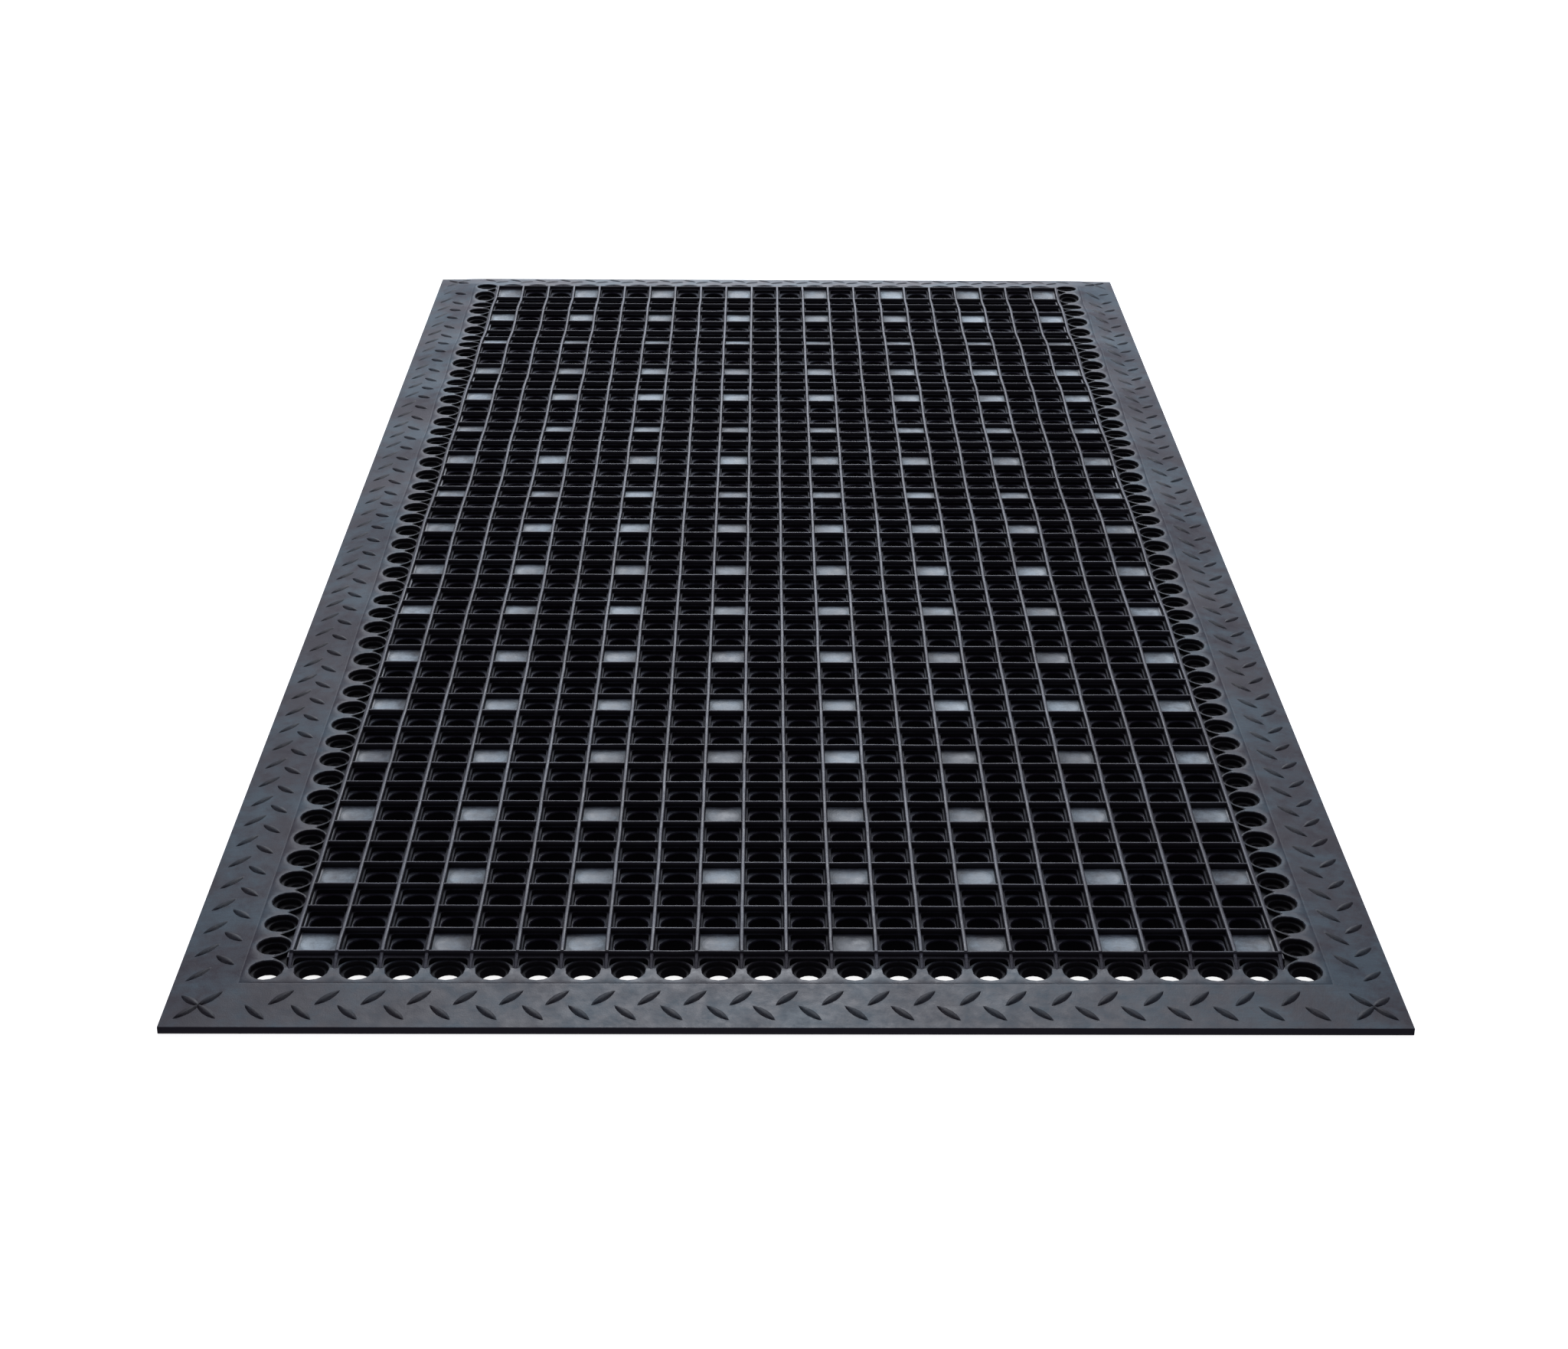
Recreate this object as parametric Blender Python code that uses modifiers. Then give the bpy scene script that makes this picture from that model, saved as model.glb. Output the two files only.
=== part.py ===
"""Heavy moulded rubber door mat: a ramped border round a field of ribs, solid pads and drain holes.

Metres, +Z up. The origin is on the ground at the middle of the mat, with its length along Y and
its front edge at -Y. The whole mat follows one square grid of cells, and a rib line is a grid line.

The mat lies in two layers. The lower one rests on the ground: the four border strips, the pad rows
and the cross ribs. The long ribs run over it, from the front border's margin to the back one's.
"""

import math

import bmesh
import bpy

# Driving dimensions
WIDTH = 0.750
HEIGHT = 0.0145
COLUMNS = 22
ROWS = 49
BORDER_CELLS = 2.5
PITCH = WIDTH / (COLUMNS + 2 * BORDER_CELLS)
FIELD_WIDTH = COLUMNS * PITCH
FIELD_LENGTH = ROWS * PITCH
FIT_GAP = 0.0003

# Border strips: a flat margin with one line of drain holes, then a ramp down to a low outer face
MARGIN_HEIGHT = 0.0089
EDGE_HEIGHT = 0.0046
MARGIN_WIDTH = 1.0 * PITCH
BORDER_WIDTH = BORDER_CELLS * PITCH
DRAIN_RADIUS = 0.375 * PITCH
DRAIN_SIDES = 10
DRAIN_OFFSET = 0.5 * PITCH

# Cross ribs and the solid pads, which stand in every third cell of every third row
CROSS_FOOT = 0.0064
CROSS_TOP = 0.0050
PAD_HEIGHT = 0.0104
PAD_FOOT = PITCH - CROSS_FOOT - 2 * FIT_GAP
PAD_TOP = PAD_FOOT - 0.0006
PAD_STEP = 3

# Long ribs, whose two ends slope down over the front and back margins
RIB_FOOT = 0.0055
RIB_TOP = 0.0023
RIB_BASE = MARGIN_HEIGHT + FIT_GAP
RIB_END_SLOPE = 0.45 * PITCH


def new_collection(name):
    collection = bpy.data.collections.new(name)
    bpy.context.scene.collection.children.link(collection)
    return collection


def rubber(name, colour, roughness):
    """Black vulcanised rubber, greyed by the bloom and dust that its surface holds."""
    material = bpy.data.materials.new(name)
    material.use_nodes = True
    shader = material.node_tree.nodes["Principled BSDF"]
    shader.inputs["Base Color"].default_value = (*colour, 1.0)
    shader.inputs["Roughness"].default_value = roughness
    shader.inputs["Metallic"].default_value = 0.0
    return material


def add_part(name, mesh, collection, location, turn=0.0):
    """One named object of a mesh, turned about Z and then placed."""
    part = bpy.data.objects.new(name, mesh)
    part.location = location
    part.rotation_euler = (0.0, 0.0, turn)
    collection.objects.link(part)
    return part


def mesh_from(form, name):
    bmesh.ops.recalc_face_normals(form, faces=form.faces)
    mesh = bpy.data.meshes.new(name)
    form.to_mesh(mesh)
    form.free()
    return mesh


def tapered_block(name, foot, top, height):
    """A block standing on z = 0, with the (x, y) sizes of its foot and of its top."""
    form = bmesh.new()
    bmesh.ops.create_cube(form, size=1.0)
    for corner in form.verts:
        at_top = corner.co.z > 0.0
        size = top if at_top else foot
        corner.co.x *= size[0]
        corner.co.y *= size[1]
        corner.co.z = height if at_top else 0.0
    return mesh_from(form, name)


def repeat(part, count, step):
    """Repeats a part along a step, as separate shells that a Boolean joins or cuts with."""
    row = part.modifiers.new("repeat", "ARRAY")
    row.count = count
    row.use_relative_offset = False
    row.use_constant_offset = True
    row.constant_offset_displace = step


def combine(part, other, operation):
    boolean = part.modifiers.new(operation.lower(), "BOOLEAN")
    boolean.operation = operation
    boolean.solver = "EXACT"
    boolean.object = other


def border_section():
    """The strip's section as (distance outside the outermost rib line, height)."""
    field_side = -CROSS_FOOT / 2
    return [
        (field_side, 0.0),
        (BORDER_WIDTH, 0.0),
        (BORDER_WIDTH, EDGE_HEIGHT),
        (MARGIN_WIDTH, MARGIN_HEIGHT),
        (field_side, MARGIN_HEIGHT),
    ]


def border_mesh(name, run):
    """A strip along X, outer edge at -Y, whose ends follow the 45 degree mitres of the corners."""
    form = bmesh.new()
    outline = [form.verts.new((-1.0, -out, height)) for out, height in border_section()]
    end = form.faces.new(outline)
    pulled = bmesh.ops.extrude_face_region(form, geom=[end])
    for corner in pulled["geom"]:
        if isinstance(corner, bmesh.types.BMVert):
            corner.co.x = 1.0
    mitre_gap = FIT_GAP / math.sqrt(2)
    for corner in form.verts:
        corner.co.x *= run / 2 - corner.co.y - mitre_gap
    return mesh_from(form, name)


def drain_cutter(name, cells, cutters, location, turn):
    """A line of upright cylinders through a strip's margin, from one corner's hole to the other's."""
    form = bmesh.new()
    bmesh.ops.create_cone(
        form,
        cap_ends=True,
        segments=DRAIN_SIDES,
        radius1=DRAIN_RADIUS,
        radius2=DRAIN_RADIUS,
        depth=3 * MARGIN_HEIGHT,
    )
    first = -(cells + 1) / 2 * PITCH
    for corner in form.verts:
        corner.co.x += first
        corner.co.y -= DRAIN_OFFSET
    cutter = add_part(name, mesh_from(form, name), cutters, location, turn)
    cutter.hide_render = True
    cutter.display_type = "WIRE"
    repeat(cutter, cells + 2, (PITCH, 0.0, 0.0))
    return cutter


def build_borders(parts, cutters):
    """Four mitred strips. Each side is (name, cells along it, its rib line's place, its turn)."""
    finish = rubber("border_rubber", (0.075, 0.088, 0.098), 0.62)
    half_width = FIELD_WIDTH / 2
    half_length = FIELD_LENGTH / 2
    sides = [
        ("border_front", COLUMNS, (0.0, -half_length, 0.0), 0.0),
        ("border_right", ROWS, (half_width, 0.0, 0.0), math.pi / 2),
        ("border_back", COLUMNS, (0.0, half_length, 0.0), math.pi),
        ("border_left", ROWS, (-half_width, 0.0, 0.0), -math.pi / 2),
    ]
    for name, cells, location, turn in sides:
        mesh = border_mesh(name, cells * PITCH)
        mesh.materials.append(finish)
        strip = add_part(name, mesh, parts, location, turn)
        cutter = drain_cutter(name + "_drains", cells, cutters, location, turn)
        combine(strip, cutter, "DIFFERENCE")


def cross_rib_mesh(name):
    """A cross rib from the left border to the right one."""
    length = FIELD_WIDTH - CROSS_FOOT - 2 * FIT_GAP
    return tapered_block(name, (length, CROSS_FOOT), (length, CROSS_TOP), MARGIN_HEIGHT)


def pad_row_mesh(name, cutters, ribs, front, back):
    """Eight pads in a line, joined by the cross ribs at the places in ribs.

    Everything along Y is counted in cells from the row's front rib line: the ribs, and where the
    pads start and end.
    """
    bars = add_part(name + "_ribs", cross_rib_mesh(name), cutters, (0.0, ribs[0] * PITCH, 0.0))
    repeat(bars, len(ribs), (0.0, PITCH, 0.0))
    depth = (back - front) * PITCH
    pad = tapered_block(name + "_pad", (PAD_FOOT, depth), (PAD_TOP, depth), PAD_HEIGHT)
    first = (0.5 - COLUMNS / 2) * PITCH
    pads = add_part(name + "_pads", pad, cutters, (first, (front + back) / 2 * PITCH, 0.0))
    repeat(pads, (COLUMNS - 1) // PAD_STEP + 1, (PAD_STEP * PITCH, 0.0, 0.0))
    combine(bars, pads, "UNION")
    bpy.context.view_layer.update()
    depsgraph = bpy.context.evaluated_depsgraph_get()
    mesh = bpy.data.meshes.new_from_object(bars.evaluated_get(depsgraph))
    mesh.transform(bars.matrix_world)
    for guide in (bars, pads):
        bpy.data.objects.remove(guide)
    return mesh


def build_pad_rows(parts, cutters):
    """The pad rows. The first and the last have one rib, since the border holds the outermost one."""
    finish = rubber("pad_rubber", (0.115, 0.14, 0.155), 0.7)
    clear = (CROSS_FOOT / 2 + FIT_GAP) / PITCH
    inner = pad_row_mesh("pad_row", cutters, (0, 1), 0.0, 1.0)
    first = pad_row_mesh("front_pad_row", cutters, (1,), clear, 1.0)
    last = pad_row_mesh("back_pad_row", cutters, (0,), 0.0, 1.0 - clear)
    rows = range(0, ROWS, PAD_STEP)
    for number, row in enumerate(rows, start=1):
        mesh = inner
        if row == rows[0]:
            mesh = first
        if row == rows[-1]:
            mesh = last
        place = (0.0, row * PITCH - FIELD_LENGTH / 2, 0.0)
        add_part(f"pad_row_{number:02d}", mesh, parts, place)
    for mesh in (inner, first, last):
        mesh.materials.clear()
        mesh.materials.append(finish)


def build_cross_ribs(parts):
    """The cross ribs that stand alone between two pad rows."""
    mesh = cross_rib_mesh("cross_rib")
    mesh.materials.append(rubber("cross_rib_rubber", (0.06, 0.068, 0.075), 0.6))
    for number, row in enumerate(range(PAD_STEP - 1, ROWS - 1, PAD_STEP), start=1):
        place = (0.0, row * PITCH - FIELD_LENGTH / 2, 0.0)
        add_part(f"cross_rib_{number:02d}", mesh, parts, place)


def build_long_ribs(parts):
    """The long ribs, one on each grid line from the left edge of the field to the right one."""
    foot = (RIB_FOOT, FIELD_LENGTH + 2 * RIB_END_SLOPE)
    top = (RIB_TOP, FIELD_LENGTH + RIB_TOP)
    mesh = tapered_block("long_rib", foot, top, HEIGHT - RIB_BASE)
    mesh.materials.append(rubber("long_rib_rubber", (0.09, 0.105, 0.115), 0.55))
    for number in range(COLUMNS + 1):
        place = (number * PITCH - FIELD_WIDTH / 2, 0.0, RIB_BASE)
        add_part(f"long_rib_{number + 1:02d}", mesh, parts, place)


def main():
    for old in list(bpy.data.objects):
        bpy.data.objects.remove(old)
    parts = new_collection("door_mat")
    cutters = new_collection("cutters")
    build_borders(parts, cutters)
    build_pad_rows(parts, cutters)
    build_cross_ribs(parts)
    build_long_ribs(parts)


main()
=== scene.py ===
# %% [markdown]
# # A moulded rubber door mat
# The real mat comes out of its press as one piece of black rubber: a low ramped border round a field
# of square cells. Thin ribs stand along the cell lines, most cells have a round hole through their
# floor, and every third cell of every third row is a solid pad. Here each of those members is a
# piece of its own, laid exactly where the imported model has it.

import math

import bmesh
import bpy
import numpy as np
from mathutils import Matrix, Vector


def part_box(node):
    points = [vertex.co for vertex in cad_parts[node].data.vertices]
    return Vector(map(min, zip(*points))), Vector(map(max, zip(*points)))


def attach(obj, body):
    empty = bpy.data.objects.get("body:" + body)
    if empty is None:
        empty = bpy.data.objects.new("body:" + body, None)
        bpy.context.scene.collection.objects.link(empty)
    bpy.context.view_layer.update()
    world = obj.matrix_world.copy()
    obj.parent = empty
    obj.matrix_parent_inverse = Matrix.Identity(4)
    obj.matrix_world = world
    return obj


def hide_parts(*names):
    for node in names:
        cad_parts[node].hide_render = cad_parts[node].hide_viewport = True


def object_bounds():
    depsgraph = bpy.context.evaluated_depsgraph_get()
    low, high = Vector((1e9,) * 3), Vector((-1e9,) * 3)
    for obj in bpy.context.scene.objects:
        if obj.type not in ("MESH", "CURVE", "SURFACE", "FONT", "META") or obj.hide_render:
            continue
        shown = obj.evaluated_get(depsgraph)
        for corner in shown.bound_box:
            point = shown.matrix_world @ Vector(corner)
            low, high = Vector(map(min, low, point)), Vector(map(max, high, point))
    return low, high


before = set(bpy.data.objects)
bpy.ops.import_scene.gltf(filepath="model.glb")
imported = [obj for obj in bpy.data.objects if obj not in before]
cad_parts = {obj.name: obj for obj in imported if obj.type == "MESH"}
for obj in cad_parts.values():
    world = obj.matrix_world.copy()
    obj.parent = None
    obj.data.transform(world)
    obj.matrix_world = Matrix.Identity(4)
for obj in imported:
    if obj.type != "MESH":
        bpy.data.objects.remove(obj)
cad_low, cad_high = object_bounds()
print("packed model:", len(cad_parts), "nodes,", [round(x, 4) for x in cad_high - cad_low], "m")

# %% [markdown]
# ## The grid and the levels
# Everything on the mat follows one square grid. Its pitch and its counts are read from the packed
# ribs and pad rows, so the fine surface can't drift from the plain one. Heights that the plain
# model doesn't have, such as the step on a rib's side, are named here in metres.

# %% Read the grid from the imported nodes
MM = 0.001
PAD_STEP = 3


def named(start):
    """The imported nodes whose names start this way."""
    return sorted(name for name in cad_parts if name.startswith(start))


def middle_x(node):
    low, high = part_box(node)
    return (low.x + high.x) / 2


long_ribs = named("long_rib")
cross_ribs = named("cross_rib")
pad_rows = named("pad_row")
borders = named("border")
COLUMNS = len(long_ribs) - 1
ROWS = PAD_STEP * (len(pad_rows) - 1) + 1
PITCH = (middle_x(long_ribs[-1]) - middle_x(long_ribs[0])) / COLUMNS
BORDER_CELLS = (cad_high.x - middle_x(long_ribs[-1])) / PITCH
RIB_HEIGHT = cad_high.z
MARGIN_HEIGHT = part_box("border_front")[1].z
PAD_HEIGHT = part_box(pad_rows[1])[1].z
SHOULDER_HEIGHT = 11.0 * MM
FLOOR_HEIGHT = 8.0 * MM
RECESS_HEIGHT = 6.0 * MM
LEDGE_HEIGHT = 5.6 * MM
EDGE_HEIGHT = 5.0 * MM
print(f"{COLUMNS} by {ROWS} cells of {PITCH / MM:.2f} mm, border {BORDER_CELLS:.2f} cells wide")

# %% [markdown]
# ## Outlines and lofts
# A cell runs from a square outline to a round hole. If both outlines have the same number of points,
# neighbouring ones are joined with plain quads, and the whole cell is one ladder of outlines. Points
# are in cells from the cell's middle, and heights in metres.

# %% Outlines of sixteen points, clockwise from +Y
SIDES = 16


def circle(radius, height, count=SIDES):
    turns = (2 * math.pi * i / count for i in range(count))
    return [(radius * math.sin(t), radius * math.cos(t), height) for t in turns]


def square(half, height, corner=None):
    """A square outline. With a corner radius, the points beside each corner close up on its arc."""
    near = half / 2 if corner is None else half - corner
    tip = half if corner is None else half - corner * (1 - math.sqrt(0.5))
    quarter = [(0.0, half), (near, half), (tip, tip), (half, near)]
    points = []
    for _ in range(4):
        points += [(x, y, height) for x, y in quarter]
        quarter = [(y, -x) for x, y in quarter]
    return points


def shade_layer(form):
    """The face layer of painted shade, from 0 to 1: it darkens a face towards near black and keeps bloom
    off it.
    """
    return form.faces.layers.float.get("clean") or form.faces.layers.float.new("clean")


def loft(form, outlines, clean=()):
    """Joins each outline to the next with quads, and returns the outlines' vertices.

    The third argument gives each band of quads its value in the face layer of painted shade.
    """
    layer = shade_layer(form)
    rings = [[form.verts.new((x * PITCH, y * PITCH, z)) for x, y, z in one] for one in outlines]
    for band, (ring, after) in enumerate(zip(rings, rings[1:])):
        for i in range(len(ring)):
            face = form.faces.new((ring[i - 1], ring[i], after[i], after[i - 1]))
            face[layer] = clean[band] if band < len(clean) else 0.0
    return rings


def finished_mesh(form, name):
    bmesh.ops.remove_doubles(form, verts=form.verts, dist=0.005 * MM)
    bmesh.ops.recalc_face_normals(form, faces=form.faces)
    mesh = bpy.data.meshes.new(name)
    form.to_mesh(mesh)
    form.free()
    return mesh


stamps = []


def stamp(form, name):
    """A small object for a tree to repeat. It is removed when the mat is made."""
    piece = bpy.data.objects.new(name, finished_mesh(form, name))
    bpy.context.scene.collection.objects.link(piece)
    stamps.append(piece)
    print("stamp", name, len(piece.data.polygons), "faces")
    return piece


# %% [markdown]
# ## Stamps for the field
# A hole cell starts under the ribs at the shoulder, drops past a rounded step to the cell's floor,
# and goes through the floor by a hole with a soft rim. Under a pad the cell is blank.

# %% The hole cell and the blank cell
HOLE_RADIUS = 0.352


def hole_cell():
    form = bmesh.new()
    # Painted shade: the shoulder and the step under the ribs are darker, the floor a little, and the hole
    # near black.
    loft(
        form,
        [
            square(0.5, SHOULDER_HEIGHT),
            square(0.402, SHOULDER_HEIGHT - 0.25 * MM, 0.075),
            square(0.386, FLOOR_HEIGHT + 0.1 * MM, 0.10),
            circle(HOLE_RADIUS + 0.022, FLOOR_HEIGHT),
            circle(HOLE_RADIUS, FLOOR_HEIGHT - 0.8 * MM),
            circle(HOLE_RADIUS - 0.01, 0.0),
            square(0.5, 0.0),
        ],
        clean=(0.65, 0.9, 0.2, 0.0, 1.0, 1.0),
    )
    return stamp(form, "hole_cell")


def blank_cell():
    form = bmesh.new()
    rings = loft(form, [square(0.5, SHOULDER_HEIGHT), square(0.40, 9.0 * MM, 0.075)])
    form.faces.new(rings[-1])
    form.faces.new(loft(form, [square(0.5, 0.0)])[0])
    return stamp(form, "blank_cell")


hole_stamp = hole_cell()
blank_stamp = blank_cell()

# %% [markdown]
# A pad is a solid block between the ribs. Its top has a very shallow round dish, which on the real
# mat is the press's ejector mark. The dish is painted lighter than the flat round it, a painted
# highlight where its rim would catch the light, and the pad's sides are painted dark as shade.

# %% The pad
def pad_block():
    form = bmesh.new()
    rings = loft(
        form,
        [
            square(0.462, 8.6 * MM),
            square(0.462, PAD_HEIGHT - 0.25 * MM),
            square(0.452, PAD_HEIGHT),
            circle(0.390, PAD_HEIGHT),
            circle(0.345, PAD_HEIGHT - 0.35 * MM),
            circle(0.13, PAD_HEIGHT - 0.45 * MM),
        ],
        # Sides painted near black as shade, bevel and flat about half as dark, the dish lightest as a
        # painted highlight.
        clean=(1.0, 0.5, 0.4, 0.15),
    )
    form.faces.new(rings[0])
    form.faces.new(rings[-1])
    return stamp(form, "pad_block")


pad_stamp = pad_block()

# %% [markdown]
# ## Helpers for node trees
# Geometry Nodes and materials are both trees of nodes, so one helper adds a node to either. An
# input is given as a value, or as the socket that feeds it. A tree's own inputs are set on the
# modifier by their identifiers, and the result is taken as a plain mesh.

# %% Add a node, start a tree, run a tree
def add(tree, kind, inputs=None, **settings):
    node = tree.nodes.new(kind)
    for name, value in settings.items():
        setattr(node, name, value)
    for name, value in (inputs or {}).items():
        if isinstance(value, bpy.types.NodeSocket):
            tree.links.new(value, node.inputs[name])
        else:
            node.inputs[name].default_value = value
    return node


def start_tree(name, **inputs):
    """A Geometry Nodes tree and its input sockets. Each input is its socket's kind."""
    tree = bpy.data.node_groups.new(name, "GeometryNodeTree")
    for label, kind in inputs.items():
        tree.interface.new_socket(label, in_out="INPUT", socket_type="NodeSocket" + kind)
    tree.interface.new_socket("Mesh", in_out="OUTPUT", socket_type="NodeSocketGeometry")
    return tree, tree.nodes.new("NodeGroupInput").outputs


def end_tree(tree, instances, given):
    """Makes the copies real, gives them their finish and passes them out."""
    real = add(tree, "GeometryNodeRealizeInstances", {0: instances})
    painted = add(tree, "GeometryNodeSetMaterial", {0: real.outputs[0], "Material": given["Finish"]})
    add(tree, "NodeGroupOutput", {0: painted.outputs[0]})
    print("tree", tree.name, "has", len(tree.nodes), "nodes")


def run(tree, **values):
    """The plain mesh that a tree makes from these values."""
    holder = bpy.data.objects.new(tree.name, bpy.data.meshes.new(tree.name))
    bpy.context.scene.collection.objects.link(holder)
    modifier = holder.modifiers.new(tree.name, "NODES")
    modifier.node_group = tree
    for item in tree.interface.items_tree:
        if item.in_out == "INPUT" and item.name in values:
            modifier[item.identifier] = values[item.name]
    graph = bpy.context.evaluated_depsgraph_get()
    mesh = bpy.data.meshes.new_from_object(holder.evaluated_get(graph))
    bpy.data.objects.remove(holder)
    print("tree", tree.name, "made", len(mesh.polygons), "faces")
    return mesh


def maths(tree, operation, first, second=0.0):
    return add(tree, "ShaderNodeMath", {0: first, 1: second}, operation=operation).outputs[0]


# %% [markdown]
# ## A tree that fills the field
# The tree makes a point in the middle of each cell and tells pad cells from the others by counting:
# a cell is a pad's if its column and its row are both multiples of the pad step. One stamp goes on
# the pad cells and another on the rest, so the same tree makes the web and then the pads.

# %% The field tree
def field_tree():
    tree, given = start_tree(
        "field_cells",
        Cell="Object",
        Pad="Object",
        Columns="Int",
        Rows="Int",
        Pitch="Float",
        Step="Int",
        Finish="Material",
    )
    counts = [given["Columns"], given["Rows"]]
    sizes = [maths(tree, "MULTIPLY", maths(tree, "SUBTRACT", n, 1.0), given["Pitch"]) for n in counts]
    grid = add(
        tree,
        "GeometryNodeMeshGrid",
        {"Size X": sizes[0], "Size Y": sizes[1], "Vertices X": counts[0], "Vertices Y": counts[1]},
    )
    place = add(tree, "ShaderNodeSeparateXYZ", {0: add(tree, "GeometryNodeInputPosition").outputs[0]})
    on_step = []
    for axis, size in enumerate(sizes):
        from_first = maths(tree, "ADD", place.outputs[axis], maths(tree, "DIVIDE", size, 2.0))
        number = maths(tree, "ROUND", maths(tree, "DIVIDE", from_first, given["Pitch"]))
        left_over = maths(tree, "MODULO", number, given["Step"])
        on_step.append(maths(tree, "LESS_THAN", left_over, 0.5))
    pad_cell = maths(tree, "MULTIPLY", on_step[0], on_step[1])
    sets = []
    for label, chosen in (("Pad", pad_cell), ("Cell", maths(tree, "SUBTRACT", 1.0, pad_cell))):
        shape = add(tree, "GeometryNodeObjectInfo", {"Object": given[label]})
        copies = add(
            tree,
            "GeometryNodeInstanceOnPoints",
            {
                "Points": grid.outputs["Mesh"],
                "Selection": chosen,
                "Instance": shape.outputs["Geometry"],
            },
        )
        sets.append(copies.outputs[0])
    both = add(tree, "GeometryNodeJoinGeometry", {0: sets[0]})
    tree.links.new(sets[1], both.inputs[0])
    end_tree(tree, both.outputs[0], given)
    return tree


cells = field_tree()

# %% [markdown]
# ## A tree that runs round the edge
# The border repeats too: a cell at every column of the front and back and at every row of the
# sides, a cell at each corner, and rows of treads between. The tree lays a line of copies along one
# side, at a given distance outside the last rib, and turns the line to make each of the four sides.

# %% The edge tree
def edge_tree():
    tree, given = start_tree(
        "edge_run",
        Stamp="Object",
        Columns="Int",
        Rows="Int",
        Pitch="Float",
        Out="Float",
        Extra="Int",
        Ends="Bool",
        Sides="Bool",
        Corners="Bool",
        Finish="Material",
    )
    shape = add(tree, "GeometryNodeObjectInfo", {"Object": given["Stamp"]}).outputs["Geometry"]
    joined = add(tree, "GeometryNodeJoinGeometry")
    step = add(tree, "ShaderNodeCombineXYZ", {"X": given["Pitch"]}).outputs[0]
    for quarter in range(4):
        along = given["Columns"] if quarter % 2 == 0 else given["Rows"]
        across = given["Rows"] if quarter % 2 == 0 else given["Columns"]
        wanted = given["Ends"] if quarter % 2 == 0 else given["Sides"]
        half_across = maths(tree, "MULTIPLY", maths(tree, "DIVIDE", across, 2.0), given["Pitch"])
        row = maths(tree, "ADD", half_across, given["Out"])
        half_along = maths(tree, "MULTIPLY", maths(tree, "DIVIDE", along, 2.0), given["Pitch"])
        corner = maths(tree, "ADD", half_along, given["Out"])
        full = maths(tree, "ADD", along, given["Extra"])
        half_run = maths(tree, "DIVIDE", maths(tree, "SUBTRACT", full, 1.0), 2.0)
        run_start = maths(tree, "MULTIPLY", half_run, given["Pitch"])
        picks = []
        for in_run, at_corner in ((full, 1.0), (run_start, corner)):
            choice = {"Switch": given["Corners"], "False": in_run, "True": at_corner}
            either = add(tree, "GeometryNodeSwitch", choice, input_type="FLOAT")
            picks.append(either.outputs[0])
        count = maths(tree, "MULTIPLY", picks[0], wanted)
        left = maths(tree, "MULTIPLY", picks[1], -1.0)
        front = maths(tree, "MULTIPLY", row, -1.0)
        start = add(tree, "ShaderNodeCombineXYZ", {"X": left, "Y": front})
        line = add(
            tree,
            "GeometryNodeMeshLine",
            {"Count": count, "Start Location": start.outputs[0], "Offset": step},
        )
        copies = add(
            tree, "GeometryNodeInstanceOnPoints", {"Points": line.outputs[0], "Instance": shape}
        )
        turned = add(
            tree,
            "GeometryNodeTransform",
            {"Geometry": copies.outputs[0], "Rotation": (0.0, 0.0, quarter * math.pi / 2)},
        )
        tree.links.new(turned.outputs[0], joined.inputs[0])
    end_tree(tree, joined.outputs[0], given)
    return tree


edge = edge_tree()

# %% [markdown]
# ## Stamps for the border
# Beside the field every border cell has a drain hole: a full-size opening in the margin, a ledge
# part of the way down, and a smaller hole to the ground. On the field side the margin stops, and only
# a thin round wall stands about the hole, so a pointed pocket is left between neighbours. Outside
# the margin the border ramps down to a low rounded edge.

# %% The outlines that every border cell shares
ARC_POINTS = 18
POCKET_TIP = 0.09
POCKET_END = 0.06
WALL_OUTER = 0.436
WALL_FLARE = 0.054
WALL_INNER = 0.394
DRAIN_RADIUS = 0.375
DRAIN_LOW_RADIUS = 0.282
DRAIN_STEP_RADIUS = 0.155
STEP_HEIGHT = 2.6 * MM
THICK_ARC = 11
FADE_ARC = 34
RAMP_DIP = 0.06


def border_heights(low_points):
    """The heights of an outline that is in the pocket at these points, and else on the margin."""
    return [RECESS_HEIGHT if i in low_points else MARGIN_HEIGHT for i in range(ARC_POINTS)]


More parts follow.
